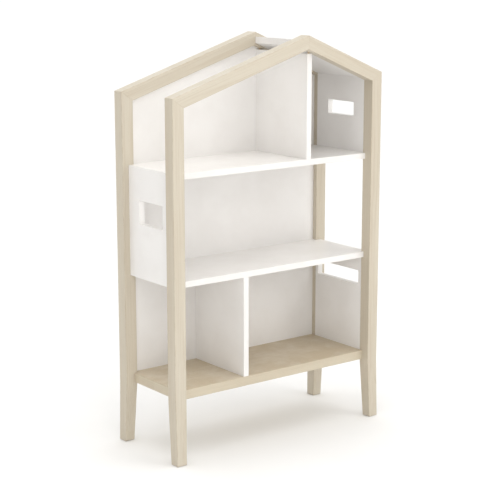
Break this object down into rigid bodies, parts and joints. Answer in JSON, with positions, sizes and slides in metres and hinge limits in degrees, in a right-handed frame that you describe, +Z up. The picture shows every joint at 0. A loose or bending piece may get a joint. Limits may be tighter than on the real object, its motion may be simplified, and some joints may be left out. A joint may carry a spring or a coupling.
{
  "type": "bookcase",
  "caption": "House-shaped open bookcase: two pale timber gable frames with splayed feet carry a timber shelf, white shelves, dividers, window panels and a half roof.",
  "frame": {"origin": "on the floor, at the middle of the width and depth", "axes": "+X to the right seen from the front, +Y to the back, +Z up"},
  "size_m": [0.81, 0.324, 1.27],
  "materials": {
    "whitewashed_birch": "solid pale birch, whitewashed and clear satin lacquered",
    "white_lacquer": "19 mm fibreboard in white satin lacquer",
    "white_back_board": "8 mm fibreboard in white satin lacquer",
    "beech_dowel": "plain fluted beech",
    "birch_ply": "plain birch plywood strip",
    "zinc_plated_steel": "bright zinc plated",
    "nylon": "moulded off-white nylon"
  },
  "bodies": {
    "root": {"apex_dowels": "beech_dowel", "back_left_leg": "whitewashed_birch", "back_left_rafter": "whitewashed_birch", "back_right_leg": "whitewashed_birch", "back_right_rafter": "whitewashed_birch", "bottom_shelf": "whitewashed_birch", "connector_screws": "zinc_plated_steel", "divider_dowels": "beech_dowel", "divider_head_dowels": "beech_dowel", "eave_dowels": "beech_dowel", "foot_glides": "nylon", "front_left_leg": "whitewashed_birch", "front_left_rafter": "whitewashed_birch", "front_right_leg": "whitewashed_birch", "front_right_rafter": "whitewashed_birch", "front_shelf_dowels": "beech_dowel", "lower_back_panel": "white_back_board", "lower_divider": "white_lacquer", "lower_right_side_panel": "white_lacquer", "middle_back_panel": "white_back_board", "middle_left_side_panel": "white_lacquer", "middle_shelf": "white_lacquer", "mitre_splines": "birch_ply", "rear_shelf_dowels": "beech_dowel", "roof_panel": "white_lacquer", "side_panel_dowels": "beech_dowel", "upper_back_panel": "white_back_board", "upper_divider": "white_lacquer", "upper_right_side_panel": "white_lacquer", "upper_shelf": "white_lacquer"}
  },
  "joints": []
}
